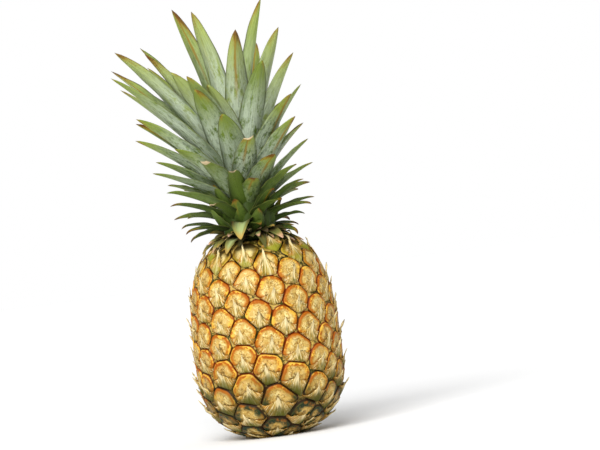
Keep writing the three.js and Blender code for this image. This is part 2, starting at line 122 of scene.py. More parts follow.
# ---- the stalk ----
STALK_RADIUS = 13 * MM
STALK_LENGTH = 9 * MM
STALK_SIDES = 64
STALK_ROUGH = 0.012
SOCKET_GAP = 0.3 * MM
# Its cut face from the middle to the rim: (share of the radius, lift in mm).
CUT_FACE = [(0.25, 0.15), (0.5, 0.1), (0.75, 0.2), (0.96, 0.05), (1, 0.6)]

# ---- the crown ----
CROWN_FOOT = BARREL_TOP + SOCKET_GAP
HEART = [(0, 18), (8, 21), (30, 22), (56, 18), (78, 11), (92, 4)]  # (rise, radius) in mm
HEART_SIDES = 48
HEART_FLUTES = 13
HEART_FLUTING = 0.05
HEART_SPIRAL = 0.2  # radians that the flutes turn in each mm of rise
CROWN_OFFSET = 2.5 * MM
CROWN_BEND = 18 * MM
CROWN_BEND_RISE = 145 * MM
LEAVES = 88
LEAF_DIVERGENCE = 137.508 * DEGREE
LEAF_PHASE = 66 * DEGREE
LEAF_ROOT_RADII = (12 * MM, 3 * MM)
LEAF_ROOT_RISES = (3 * MM, 56 * MM)
LEAF_THICKNESSES = (2.6 * MM, 0.7 * MM)
LEAF_ROOT_SHARE = 0.6
LEAF_CHANNEL = 0.2
LEAF_CURVE = 1.35  # the power by which the channel's sides steepen
LEAF_TAPERS = (2, 4)
LEAF_TAPER_ROUND = 0.75
LEAF_SHOULDER = 0.3
LEAF_TWIST = 30 * DEGREE
LEAF_WAVE = 0.05  # how far its edges wave, as a share of its width
LEAF_WAVES = (1, 2, 3, 5)  # how many waves go along it, laid over one another
LEAF_TEAR = (-1.5 * MM, 0.8 * MM)  # how unevenly the end of a cut leaf is torn
LEAF_HOOKS = (0.2, 1.1)  # radians that the end of the lowest leaves turns down
HOOK_START = 0.86  # the share of its length where the end starts to hook down
HOOK_FADE = 2.2  # how fast the hooks fade from the lowest leaf up
TIP_SCATTER = 6 * MM
WIDTH_SCATTER = 0.12
ARCH_SCATTER = 0.4
RANDOM_SEED = 7
LEAF_COLUMNS = 12
LEAF_SECTIONS = 30

# The leaves from the lowest to the highest, evenly spaced.
TIP_REACHES = np.array([44, 50, 54, 58, 63, 68, 73, 75, 70, 50, 16]) * MM
TIP_RISES = np.array([4, 12, 26, 42, 60, 82, 106, 130, 152, 168, 176]) * MM
LEAF_WIDTHS = np.array([13, 14, 16, 19, 22, 23, 25, 26, 26, 24, 20]) * MM
LEAF_ARCHES = np.array([30, 22, 18, 15, 12, 10, 9, 8, 7, 6, 5]) * DEGREE

# Tips that grew off the rule: (distance across, distance back, rise) in mm, and for a leaf that was cut
# short the share of it that is left.
GROWN_TIPS = [
    (-42, 28, 195), (-25, -30, 187), (8, -38, 168), (31, 16, 194), (22, 58, 162), (42, -30, 166),
    (26, -62, 140), (51, -42, 144), (-72, 38, 168), (-65, -50, 157), (-88, -55, 161), (-99, 62, 154),
    (-94, -45, 142), (-90, -5, 134), (-34, -66, 135), (-46, -58, 140), (-29, -68, 124), (-79, -35, 108),
    (-83, 30, 107), (-83, -10, 92), (-69, -15, 73), (-72, -30, 64), (-51, -58, 80), (-62, -10, 54),
    (-63, -28, 48), (-62, -20, 38), (-61, -5, 26), (-57, 12, 19), (-53, -20, 14), (-51, 0, 7),
    (-10, -72, 102), (8, -70, 80, 0.9), (-30, -58, 67, 0.95), (-8, -62, 57, 0.9), (-28, -48, 34, 0.94),
    (26, -60, 66), (8, -58, 50), (22, -54, 41), (27, -50, 31), (8, -45, 13), (-8, -46, 6),
    (54, -8, 120), (45, -45, 112), (46, -42, 94), (52, 15, 90), (54, -12, 76), (55, -22, 57),
    (42, -46, 57), (46, -32, 45), (51, 4, 42), (41, 36, 38), (53, 2, 30), (50, -22, 25), (44, -10, 18),
    (38, 14, 10), (37, -26, 3), (-19, -55, 127), (-44, 0, 134), (-38, -20, 128), (-4, 8, 134),
    (-62, 18, 112), (42, 28, 58), (36, 38, 110), (32, 22, 140), (-8, 50, 138),
    (-40, 60, 126), (-44, 66, 138), (-67, 10, 150), (-35, 35, 171),
]

# The short broad sheaths that clasp the heart.
SHEATHS = 26
SHEATH_PHASE = 20 * DEGREE
SHEATH_ROOT_RADIUS = 13 * MM
SHEATH_ROOT_RISES = (1 * MM, 48 * MM)
SHEATH_REACHES = np.array([31, 30, 28, 24]) * MM
SHEATH_RISE = 27 * MM
SHEATH_WIDTH = 19 * MM
SHEATH_ARCH = -18 * DEGREE
SHEATH_RANK = 0.2  # of the leaves whose finish they share

# ---- the collar: small dry leaves that hang over the fruit's shoulder ----
COLLAR_LEAVES = 64
# The tips of further ones in front: (distance across, distance back, rise) in mm.
COLLAR_TIPS = [
    (-22, -38, -7), (-10, -42, -1), (9, -42, -6), (24, -34, 0), (-33, -27, -5), (-38, -15, -6),
    (-29, -31, -1), (-42, -4, -5), (-36, -20, 2), (33, -26, -3), (40, -10, -4),
]
COLLAR_REACHES = (27 * MM, 38 * MM)
COLLAR_RISES = (-3 * MM, 11 * MM)
COLLAR_ROOT_RADIUS = 15 * MM
COLLAR_ROOT_RISES = (2 * MM, 5 * MM)
COLLAR_WIDTHS = (8 * MM, 12 * MM)
COLLAR_ARCHES = (22 * DEGREE, 36 * DEGREE)
COLLAR_TWIST = 0.6

# ---- what each piece's random numbers start from ----
BRACT_SHAPE_SEED, RIND_SEED, BRACT_SEED = 23, 11, 29
CROWN_SEED, COLLAR_SEED, STALK_SEED = 5, 31, 3

# ---- the camera: level, a long way off, and rolled as far as the fruit leans in its frame ----
CAMERA_DISTANCE = 2.4
CAMERA_ROLL = 7.5 * DEGREE
CAMERA_AIM = (38.4 * MM, 163.8 * MM)  # the point across and up that the frame's middle shows
FRAME_WIDTH = 480 * MM  # what the frame takes in at the fruit's axis
SENSOR_WIDTH = 36

# ---- the studio ----
FLOOR_SIZE = 8
FLOOR_WHITE = (0.95, 0.95, 0.95, 1)
SURROUND_LIGHT = 0.5
FRUIT_MIDDLE = Vector((0, 0, 0.17))


# ---- shader kit ----
def srgb(red, green, blue):
    """A colour as the eye sees it, in hundredths, made linear for a shader."""
    shares = (red / 100, green / 100, blue / 100)
    return (*(c / 12.92 if c <= 0.04045 else ((c + 0.055) / 1.055) ** 2.4 for c in shares), 1)


class Socket:
    """A shader socket in Python arithmetic: every operation adds the Math node that does it."""

    def __init__(self, finish, socket):
        self.finish = finish
        self.socket = socket

    def maths(self, operation, *values):
        return self.finish.node("Math", {"operation": operation}, dict(enumerate(values)))

    def __add__(self, other):
        return self.maths("ADD", self, other)

    def __radd__(self, other):
        return self.maths("ADD", other, self)

    def __sub__(self, other):
        return self.maths("SUBTRACT", self, other)

    def __rsub__(self, other):
        return self.maths("SUBTRACT", other, self)

    def __mul__(self, other):
        return self.maths("MULTIPLY", self, other)

    def __rmul__(self, other):
        return self.maths("MULTIPLY", other, self)

    def __abs__(self):
        return self.maths("ABSOLUTE", self)

    def fraction(self):
        return self.maths("FRACT", self)

    def clamped(self):
        return self.finish.node("Clamp", inputs={"Value": self})

    def swing(self, width):
        """A value about 0.5 as one about 0, this many times as wide."""
        return (self - 0.5) * width

    def rise(self, low, high):
        """0 below low, 1 above high, smooth between them; falls instead where low is the larger."""
        inputs = {"Value": self, "From Min": low, "From Max": high}
        if low > high:
            inputs = {"Value": self, "From Min": high, "From Max": low, "To Min": 1, "To Max": 0}
        return self.finish.node("MapRange", {"interpolation_type": "SMOOTHSTEP"}, inputs)


class Finish:
    """A material built in coats over a ground colour, from expressions on its mesh's own measures."""

    def __init__(self, name, ground, **constants):
        self.material = bpy.data.materials.new(name)
        self.material.use_nodes = True
        self.tree = self.material.node_tree
        self.shader = self.tree.nodes["Principled BSDF"]
        self.colour = ground
        self.shade(Base_Color=ground, **constants)

    def shade(self, **values):
        for key, value in values.items():
            self.feed(self.shader.inputs[key.replace("_", " ")], value)

    def node(self, kind, settings=None, inputs=None, output=0):
        made = self.tree.nodes.new("ShaderNode" + kind)
        for key, value in (settings or {}).items():
            setattr(made, key, value)
        for key, value in (inputs or {}).items():
            self.feed(made.inputs[key], value)
        return Socket(self, made.outputs[output])

    def feed(self, target, value):
        if isinstance(value, Socket):
            self.tree.links.new(value.socket, target)
        else:
            target.default_value = value

    def measures(self, *names):
        """Values that the mesh carries at its points."""
        return [self.node("Attribute", {"attribute_name": name}, output="Fac") for name in names]

    def place(self):
        return self.node("TexCoord", output="Object")

    def height(self):
        return self.node("SeparateXYZ", inputs={0: self.place()}, output=2)

    def noise(self, *place, scale=1.0, detail=3.0, roughness=0.5):
        """A noise over the piece itself, or over the place that three values give."""
        vector = self.node("CombineXYZ", inputs=dict(enumerate(place))) if place else self.place()
        inputs = {"Vector": vector, "Scale": scale, "Detail": detail, "Roughness": roughness}
        return self.node("TexNoise", inputs=inputs)

    def mix(self, base, top, mask):
        return self.node("Mix", {"data_type": "RGBA"}, {0: mask, 6: base, 7: top}, output=2)

    def coat(self, colour, mask):
        """Lays a colour over the ones before it, as thickly as the mask says."""
        self.colour = self.mix(self.colour, colour, mask)

    def done(self, roughness, bump, depth):
        normal = self.node("Bump", inputs={"Height": bump, "Distance": depth})
        self.shade(Base_Color=self.colour, Roughness=roughness, Normal=normal)
        return self.material


# ---- mesh kit ----
def new_mesh(name, points, faces, material):
    mesh = bpy.data.meshes.new(name)
    mesh.from_pydata(points, [], faces)
    mesh.materials.append(material)
    return mesh


def new_object(name, data):
    made = bpy.data.objects.new(name, data)
    bpy.context.scene.collection.objects.link(made)
    return made


class Parts:
    """Points, faces and measures of many like parts, joined in one mesh."""

    def __init__(self):
        self.points = []
        self.faces = []
        self.measures = {}
        self.count = 0

    def add(self, points, faces, **measures):
        """Adds a part; its faces count from its own first point."""
        self.faces += [tuple(self.count + i for i in face) for face in faces]
        self.points.append(points)
        for key, values in measures.items():
            self.measures.setdefault(key, []).append(np.broadcast_to(values, len(points)))
        self.count += len(points)

    def piece(self, name, material, slot, *replaced):
        mesh = new_mesh(name, np.concatenate(self.points).tolist(), self.faces, material)
        for key, values in self.measures.items():
            layer = mesh.attributes.new(key, "FLOAT", "POINT")
            layer.data.foreach_set("value", np.concatenate(values).astype(np.float32))
        mesh.update()
        mesh.shade_smooth()
        piece = new_object(name, mesh)
        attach(piece, "root")
        if replaced:
            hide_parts(*replaced)


def pairs(ring):
    """Each item of a closed ring with the one after it."""
    return zip(ring, [*ring[1:], ring[0]])


def band_faces(first, second):
    """Faces between two closed rings of point numbers."""
    return [(a, b, d, c) for (a, b), (c, d) in zip(pairs(first), pairs(second))]


def fan_faces(ring, pole):
    """Faces between a closed ring of point numbers and one point."""
    return [(a, b, pole) for a, b in pairs(ring)]


def ring_numbers(rings, around):
    """The point numbers of each of several rings that follow one another."""
    return [range(k * around, (k + 1) * around) for k in range(rings)]


def tube_faces(rings, around, closed_end):
    """Faces of rings of points, the first ring closed by a flat face, the last by one or by a tip."""
    loops = ring_numbers(rings, around)
    faces = [tuple(reversed(loops[0]))]
    for lower, upper in zip(loops, loops[1:]):
        faces += band_faces(lower, upper)
    return faces + ([tuple(loops[-1])] if closed_end else fan_faces(loops[-1], rings * around))


def sheet_faces(rows, columns):
    """Faces of a thin closed sheet: its front points row by row, then its back points."""
    grid = np.arange(rows * columns).reshape(rows, columns)
    corners = (grid[:-1, :-1], grid[:-1, 1:], grid[1:, 1:], grid[1:, :-1])
    front = np.stack([corner.ravel() for corner in corners], axis=1)
    back = front[:, ::-1] + grid.size
    rim = np.concatenate([grid[0], grid[1:, -1], grid[-1, -2::-1], grid[-2:0:-1, 0]]).tolist()
    return front.tolist() + back.tolist() + band_faces([grid.size + a for a in rim], rim)


def turns_round(count):
    """Angles evenly spaced round a circle."""
    return np.linspace(0, 2 * np.pi, count, endpoint=False)


def circle(turn, radius, height, middle=0):
    """Points at these angles and radii round an upright line that stands this far across."""
    x, y = radius * np.sin(turn) + middle, -radius * np.cos(turn)
    return np.stack([x, y, np.full(len(turn), height)], axis=1)


def wander(rng, count, waves):
    """A smooth random closed line of values about -1 to 1, one for each of count places round."""
    turn = turns_round(count)
    return sum(rng.normal() * np.cos(k * turn + rng.uniform(0, 6.3)) for k in waves) / len(waves)


def bump_at(value, width):
    """1 where the value is 0, falling smoothly on both sides."""
    return np.exp(-(value / width) ** 2)


# ---- the barrel's skin ----
def groove_radius(height):
    """The barrel's radius: fullest at its widest height and rounded off towards both ends."""
    below = (np.maximum(WIDEST_HEIGHT - height, 0) / LOWER_REACH) ** LOWER_BULGE
    above = (np.maximum(height - WIDEST_HEIGHT, 0) / UPPER_REACH) ** UPPER_BULGE
    return GROOVE_RADIUS * (1 - below) ** LOWER_ROUND * (1 - above) ** UPPER_ROUND


class Skin:
    """The barrel's profile, with the area below each height and the level on a map that keeps angles."""

    def __init__(self):
        share = (1 - np.cos(np.pi * np.arange(SKIN_STEPS + 1) / SKIN_STEPS)) / 2
        self.height = BARREL_FOOT + (BARREL_TOP - BARREL_FOOT) * share
        self.radius = groove_radius(self.height)
        run = np.hypot(np.diff(self.height), np.diff(self.radius))
        middle = (self.radius[1:] + self.radius[:-1]) / 2
        along = np.concatenate([[0], np.cumsum(run)])
        self.area = np.concatenate([[0], np.cumsum(2 * np.pi * middle * run)])
        self.level = np.concatenate([[0], np.cumsum(run / middle)])
        self.out = np.gradient(self.height, along)
        self.up = -np.gradient(self.radius, along)
        self.top = self.level[-1]

    def radius_at(self, level):
        return np.interp(level, self.level, self.radius)

    def height_at(self, level):
        return np.interp(level, self.level, self.height)

    def point(self, angle, level, lift):
        """Places at an angle and a level of the map, lifted off the skin; none goes below the floor."""
        level = np.clip(level, 0, self.top)
        radius = self.radius_at(level) + lift * np.interp(level, self.level, self.out)
        height = self.height_at(level) + lift * np.interp(level, self.level, self.up)
        return np.stack([radius * np.sin(angle), -radius * np.cos(angle), np.maximum(height, 0)], axis=-1)


skin = Skin()


# ---- the eyes ----
def turn_to(start, end):
    """The turn from one angle to another, the short way round."""
    return (end - start + math.pi) % (2 * math.pi) - math.pi


def eye_centres():
    """The eyes where they grew: the listed ones at their own places, their neighbours drawn along."""
    order = np.arange(int(skin.area[-1] / EYE_AREA))
    angles = EYE_PHASE + order * EYE_DIVERGENCE
    levels = np.interp((order + 0.5) * EYE_AREA, skin.area, skin.level)
    moved, shifts = [], []
    for step, across, height in GROWN_EYES:
        eye = MIDDLE_EYE + step
        radius = float(groove_radius(height * MM)) + GROWN_LIFT
        turn = turn_to(angles[eye], math.asin(across * MM / radius))
        climb = np.interp(height * MM, skin.height, skin.level) - levels[eye]
        moved.append(eye)
        shifts.append((turn, climb))
    shifts = np.array(shifts)
    centres = []
    for eye, centre in enumerate(np.stack([angles, levels], axis=1)):
        if eye in moved:
            shift = shifts[moved.index(eye)]
        else:
            away = np.hypot(turn_to(centre[0], angles[moved]), centre[1] - levels[moved]) / GROWN_REACH
            weights = np.exp(-away ** 2)
            shift = weights @ shifts / (GROWN_HOLD + weights.sum())
        centres.append(centre + shift)
    return np.array(centres)


def cut_outline(outline, away, name):
    """Cuts a convex outline of (point, name of the line that leaves it) halfway to a point beyond it."""
    kept = []
    for (point, line), (ahead, _) in pairs(outline):
        here, there = (place @ away - away @ away / 2 for place in (point, ahead))
        if here <= 0:
            kept.append((point, line))
        if (here <= 0) != (there <= 0):
            crossing = point + (ahead - point) * here / (here - there)
            kept.append((crossing, name if here <= 0 else line))
    return kept


def eye_outline(centres, eye):
    """The corners of the part of the map nearest to one eye, relative to it, each with its line's name."""
    foot, top = -centres[eye][1], skin.top - centres[eye][1]
    corners = np.array([(-EYE_SIDE, foot), (EYE_SIDE, foot), (EYE_SIDE, top), (-EYE_SIDE, top)])
    outline = list(zip(corners, ("foot", "side", "top", "side")))
    for other in range(max(0, eye - EYE_NEIGHBOURS), min(len(centres), eye + EYE_NEIGHBOURS)):
        if other != eye:
            turn, climb = centres[other] - centres[eye]
            outline = cut_outline(outline, np.array((turn_to(0, turn), climb)), other)
    return outline


class Grooves:
    """The points that eyes share along their grooves, as places on the map."""

    def __init__(self):
        self.places = []
        self.corners = {}
        self.edges = {}
        self.rims = {"foot": {}, "top": {}}

    def add(self, place, lines):
        self.places.append(place)
        number = len(self.places) - 1
        for end, rim in self.rims.items():
            if end in lines:
                rim[number] = float(turn_to(0, place[0]))
        return number

    def corner(self, name, place):
        if name not in self.corners:
            self.corners[name] = self.add(place, name)
        return self.corners[name]

    def edge(self, ends, place, run, lines):
        """The points between two corners; the eye that asks second goes along them the other way."""
        if ends in self.edges:
            return self.edges[ends][::-1]
        length = float(np.hypot(*run)) * float(skin.radius_at(place[1]))
        count = max(1, round(length / BOUNDARY_STEP))
        self.edges[ends] = [self.add(place + run * step / count, lines) for step in range(1, count)]
        return self.edges[ends]

    def border(self, eye, centres):
        """One eye's outline, point by point, and those points' numbers."""
        outline = eye_outline(centres, eye)
        points, numbers = [], []
        for k, (point, line) in enumerate(outline):
            ahead, after = outline[(k + 1) % len(outline)]
            start = corner_name(eye, outline[k - 1][1], line)
            end = corner_name(eye, line, after)
            run, place = ahead - point, centres[eye] + point
            corner = self.corner(start, place)
            inner = self.edge(frozenset((start, end)), place, run, (eye, line))
            numbers += [corner, *inner]
            points += [point + run * share for share in np.arange(len(inner) + 1) / (len(inner) + 1)]
        return np.array(points), numbers


def corner_name(*lines):
    """One name for a corner, whichever of the eyes that meet there asks."""
    return tuple(sorted(map(str, lines)))


class Eye:
    """One eye: its middle, its outline as points round it, and where those stand in the rind's mesh."""

    def __init__(self, centre, outline, numbers, is_top, rng):
        self.centre = centre
        self.outline = outline
        self.numbers = numbers
        self.is_top = is_top
        self.reach = np.hypot(*outline.T)
        self.bearing = np.arctan2(outline[:, 1], outline[:, 0])
        self.size = float(self.reach.mean())
        self.scale = float(skin.radius_at(centre[1]))  # metres for one unit of the map here
        self.low = np.interp(skin.height_at(centre[1]), LOW_HEIGHTS, (1, 0))
        self.inner = self.rounded()
        self.corner = np.clip((self.reach / self.inner - 1) / CORNER_REACH, 0, 1)
        self.bract = Bract(self, rng)

    def rounded(self):
        """How far out the rounded outline is, at each point of the eye's own."""
        limit = np.interp(self.outline[:, 1] / self.size, ROUND_HEIGHTS, ROUND_LIMITS)
        inner = np.minimum(self.reach, limit * self.size)
        for _ in range(ROUND_TURNS):
            inner = (np.roll(inner, 1) + 2 * inner + np.roll(inner, -1)) / 4
        return np.minimum(inner, self.reach)

    def ring(self, share):
        """Places round the eye, this share of the way out from its middle to its groove."""
        shares = [0, ROUND_SHARE, 1]
        reach = [np.interp(share, shares, [0, ROUND_SHARE * a, b]) for a, b in zip(self.inner, self.reach)]
        return reach * np.cos(self.bearing), reach * np.sin(self.bearing)

    def at(self, values, x, y):
        """The values round the eye, at places relative to its middle."""
        return np.interp(np.arctan2(y, x), self.bearing, values, period=2 * np.pi)

    def share(self, x, y):
        """How far places relative to the eye's middle are out towards its groove."""
        near, far = (self.at(reach, x, y) for reach in (ROUND_SHARE * self.inner, self.reach))
        away = np.hypot(x, y)
        slope = ROUND_SHARE + (1 - ROUND_SHARE) * (away - near) / np.maximum(far - near, TINY)
        return np.clip(np.where(away < near, away / near * ROUND_SHARE, slope), 0, 1)


def make_eyes():
    """Every eye, and the grooves between them."""
    centres = eye_centres()
    grooves = Grooves()
    rng = np.random.default_rng(BRACT_SHAPE_SEED)
    top = len(centres) - TOP_EYES
    eyes = [Eye(centre, *grooves.border(n, centres), n >= top, rng) for n, centre in enumerate(centres)]
    return eyes, grooves


def relief(eye, x, y):
    """The skin's lift at places relative to an eye's middle; u and v are those places in its mean radii."""
    share = eye.share(x, y)
    u, v = x / eye.size, y / eye.size
    brow = BROW_LIFT * bump_at(share - 0.78, 0.16) * v
    lobes = LOBE_LIFT * bump_at(np.abs(u) - 0.38, 0.2) * bump_at(v - 0.15, 0.3)
    crease = CREASE_DEPTH * bump_at(v - 0.42 + 0.6 * u * u, 0.08) * bump_at(u, 0.4)
    fill = FILL_LIFT * eye.at(eye.corner, x, y) * np.clip((share - ROUND_SHARE) / (1 - ROUND_SHARE), 0, 1)
    return np.interp(share, RELIEF_AT, RELIEF) + brow + lobes - crease + fill


def lip_distance(eye, x, y):
    """How far places are, in mm, from the margin of the eye's bract."""
    margin_x, margin_y = eye.bract.x[-1], eye.bract.y[-1]
    away = np.hypot(x[:, None] - margin_x, y[:, None] - margin_y).min(axis=1)
    return away * eye.scale / MM


def build_rind(eyes, grooves, material):
    rng = np.random.default_rng(RIND_SEED)
    parts = Parts()
    angle, level = np.array(grooves.places).T
    corner = np.zeros(len(angle))
    for eye in eyes:
        corner[eye.numbers] = np.maximum(corner[eye.numbers], eye.corner)
    parts.add(skin.point(angle, level, RELIEF[-1] + FILL_LIFT * corner), [], ring=1, corner=corner, **BARE)
    for eye in eyes:
        add_eye(parts, eye, rng)
    close_rind(parts, grooves.rims)
    parts.piece("rind", material, "rind", "fruit")


def add_eye(parts, eye, rng):
    """One eye's skin: its rings inward from the points in the grooves, closed at its middle."""
    around = len(eye.outline)
    lumps = wander(rng, around, LUMP_WAVES)
    rings = np.concatenate([eye.ring(share) for share in RINGS], axis=1)
    x, y = np.append(rings, [[0], [0]], axis=1)
    share = np.append(np.repeat(RINGS, around), 0)
    lumps, corner = (np.append(np.tile(values, len(RINGS)), 0) for values in (lumps, eye.corner))
    lift = relief(eye, x, y) + LUMP_LIFT * lumps * np.sin(np.pi * share)
    loops = ring_numbers(len(RINGS), around)
    groove = [number - parts.count for number in eye.numbers]
    faces = [face for outer, inner in zip([groove, *loops], loops) for face in band_faces(outer, inner)]
    parts.add(
        skin.point(eye.centre[0] + x, eye.centre[1] + y, lift),
        faces + fan_faces(loops[-1], len(RINGS) * around),
        ring=share, across=x / eye.size, above=y / eye.size, corner=corner,
        lip=lip_distance(eye, x, y), tint=rng.uniform(),
    )


def close_rind(parts, rims):
    """The flat top under the crown, and the foot with the socket that the stalk fills."""
    top = [number - parts.count for number in sorted(rims["top"], key=rims["top"].get)]
    parts.add(np.array([(0, 0, BARREL_TOP)]), fan_faces(top, 0), ring=1, corner=0, **BARE)
    numbers = sorted(rims["foot"], key=rims["foot"].get)
    turn = np.array([rims["foot"][number] for number in numbers])
    foot = [number - parts.count for number in numbers]
    wall, ceiling = ring_numbers(2, len(foot))
    depth = STALK_LENGTH + SOCKET_GAP
    points = [circle(turn, STALK_RADIUS + SOCKET_GAP, height) for height in (BARREL_FOOT, depth)]
    faces = band_faces(wall, foot) + band_faces(ceiling, wall) + fan_faces(ceiling[::-1], 2 * len(foot))
    parts.add(np.concatenate([*points, [(0, 0, depth)]]), faces, ring=1, corner=0, **BARE)


# ---- the bracts ----
class Bract:
    """A bract's points relative to its eye's middle, row by row from its base to its margin."""

    def __init__(self, eye, rng):
        outline, size, column = eye.outline, eye.size, BRACT_ACROSS
        fall = rng.uniform(*BRACT_FALLS) - LOW_RISE * eye.low
        fall = min(fall * size, -0.5 * outline[:, 1].min())
        lower = outline[outline[:, 1] < -fall]
        lower = lower[np.argsort(lower[:, 0])]
        wings = np.where(column < 0, -lower[0, 0], lower[-1, 0])
        x = BRACT_SPREAD * wings * column * (0.7 + 0.3 * np.abs(column))
        away = np.abs(x) / np.abs(x[[0, -1]])[(column > 0).astype(int)]
        base = BRACT_BASE * np.interp(x, lower[:, 0], lower[:, 1])
        apex = size * rng.uniform(*(TOP_APEXES if eye.is_top else BRACT_APEXES))
        spine = size * rng.uniform(*BRACT_SPINES)
        corners = lower[[0, -1], 1] + rng.uniform(-BRACT_CORNER, BRACT_CORNER, 2) * size
        hollow = TOP_HOLLOW if eye.is_top else rng.uniform(*BRACT_HOLLOWS)
        margin = np.where(column < 0, *corners)
        margin = margin + (apex - margin) * (1 - away) ** hollow
        margin = margin + np.interp(eye.low, (0, 1), WING_LIFTS) * size * bump_at(1 - away, 0.12)
        fringe = rng.uniform(-1, 1, BRACT_COLUMNS) * BRACT_FRINGE * size
        margin = margin + fringe + spine * bump_at(away, 0.07)
        margin = np.maximum(margin, base + BRACT_FRINGE * size)
        lean = rng.uniform(-BRACT_LEAN, BRACT_LEAN) * size
        self.x = x + lean * BRACT_ALONG ** 2 * bump_at(away, 0.5)
        self.y = base + (margin - base) * BRACT_ALONG
        self.apex = apex + spine


def bract_lift(eye, rng):
    """How far a bract's front stands off the eye: curled, crinkled, and with its spine lifted."""
    row, column = BRACT_ALONG, BRACT_ACROSS
    curl = rng.uniform(*BRACT_CURLS, BRACT_COLUMNS)
    folds = rng.uniform(-BRACT_FOLD, BRACT_FOLD, BRACT_COLUMNS)
    tip = TOP_TIP if eye.is_top else rng.uniform(*BRACT_TIPS) * (1 - 0.5 * eye.low)
    ridge = bump_at(column, 0.19)
    rise = curl * row ** 3 + tip * ridge * row ** 4 + BRACT_RIDGE * ridge * row
    crinkle = (folds + BRACT_ARCH * (1 - column ** 2)) * np.sin(np.pi * row)
    return relief(eye, eye.bract.x, eye.bract.y) + BRACT_CLEAR + BRACT_SHEET + rise + crinkle


def build_bracts(eyes, material):
    rng = np.random.default_rng(BRACT_SEED)
    parts = Parts()
    faces = sheet_faces(BRACT_ROWS, BRACT_COLUMNS)
    for eye in eyes:
        x, y = eye.bract.x, eye.bract.y
        lift = bract_lift(eye, rng)
        angle, level = eye.centre[0] + x, eye.centre[1] + y
        points = [skin.point(angle, level, lift - under) for under in (0, BRACT_SHEET)]
        ray = np.arctan2(x, eye.bract.apex + 0.25 * eye.size - y)
        measures = {"ray": ray, "along": BRACT_ALONG, "across": BRACT_ACROSS}
        for name, values in measures.items():
            measures[name] = np.tile(np.broadcast_to(values, x.shape).ravel(), 2)
        parts.add(np.concatenate(points).reshape(-1, 3), faces, tint=rng.uniform(), **measures)
    parts.piece("bracts", material, "rind")


# ---- the crown ----
class Draws:
    """The same run of random numbers as the frame's leaves take."""

    def __init__(self, seed):
        self.state = seed

    def next(self):
        self.state = (self.state * 1664525 + 1013904223) % 4294967296
        return self.state / 4294967296

    def offset(self, size):
        """A random distance either way of 0, within half the size."""
        return size * (self.next() - 0.5)


@dataclass
class Leaf:
    """A leaf as numbers, in metres and radians."""

    root: Vector
    tip: Vector
    width: float
    arch: float  # how far its ends turn from the straight line between them
    twist: float
    taper: float = LEAF_TAPERS[0]
    rank: float = 0  # 0 for the lowest leaf and 1 for the highest
    left: float = 1  # the share of it that wasn't cut off
    hook: float = 0
    tint: float = None


def evenly(values, share):
    """The value at a share of the way along an evenly spaced list."""
    return float(np.interp(share, np.linspace(0, 1, len(values)), values))


def crown_point(angle, reach, rise, middle=-CROWN_OFFSET):
    """A place round a point of the crown's axis that stands this far across."""
    return Vector((middle + reach * math.sin(angle), -reach * math.cos(angle), CROWN_FOOT + rise))


def crown_middle(rise):
    """Where the crown's axis, which bends as it climbs, is across."""
    return -CROWN_OFFSET - CROWN_BEND * (rise / CROWN_BEND_RISE) ** 2


def listed_tip(across, back, rise):
    """A tip from the lists above, in metres from the origin."""
    return Vector((across * MM, back * MM, CROWN_FOOT + rise * MM))


def spiral(count, phase):
    """Leaves up a stem, from the first (0) to the last (1), with the angle of each."""
    return [(n / (count - 1), phase + n * LEAF_DIVERGENCE) for n in range(count)]


def crown_leaves(draws):
    """Every leaf, lowest first, with the listed tips given to the leaves nearest to them."""
    leaves = []
    for share, angle in spiral(LEAVES, LEAF_PHASE):
        rise = evenly(TIP_RISES, share) + draws.offset(TIP_SCATTER)
        leaves.append(Leaf(
            root=crown_point(angle, evenly(LEAF_ROOT_RADII, share), evenly(LEAF_ROOT_RISES, share)),
            tip=crown_point(angle, evenly(TIP_REACHES, share), rise, crown_middle(rise)),
            width=evenly(LEAF_WIDTHS, share) * (1 + draws.offset(WIDTH_SCATTER)),
            arch=evenly(LEAF_ARCHES, share) * (1 + draws.offset(ARCH_SCATTER)),
            twist=draws.offset(LEAF_TWIST),
            taper=evenly(LEAF_TAPERS, share),
            rank=share,
        ))
    tips = [listed_tip(*tip[:3]) for tip in GROWN_TIPS]
    distances = [((tip - leaf.tip).length, t, n)
                 for t, tip in enumerate(tips) for n, leaf in enumerate(leaves)]
    given, taken = set(), set()
    for _, t, n in sorted(distances):
        if t not in given and n not in taken:
            given.add(t)
            taken.add(n)
            leaves[n].tip = tips[t]
            leaves[n].left = GROWN_TIPS[t][3] if len(GROWN_TIPS[t]) > 3 else 1
    return leaves


def sheaths(draws):
    """The short broad leaves that clasp the heart."""
    leaves = []
    for share, angle in spiral(SHEATHS, SHEATH_PHASE):
        root_rise = evenly(SHEATH_ROOT_RISES, share)
        rise = root_rise + SHEATH_RISE + draws.offset(TIP_SCATTER)
        leaves.append(Leaf(
            root=crown_point(angle, SHEATH_ROOT_RADIUS, root_rise),
            tip=crown_point(angle, evenly(SHEATH_REACHES, share), rise, crown_middle(rise)),
            width=SHEATH_WIDTH * (1 + draws.offset(WIDTH_SCATTER)),
            arch=SHEATH_ARCH,
            twist=draws.offset(LEAF_TWIST),
            rank=SHEATH_RANK,
        ))
    return leaves


def leaf_width_share(along, taper):
    """How wide a leaf is along its length, as a share of its full width."""
    foot = np.interp(along, [0, LEAF_SHOULDER], [LEAF_ROOT_SHARE, 1])
    return (1 - along ** taper) ** LEAF_TAPER_ROUND * foot


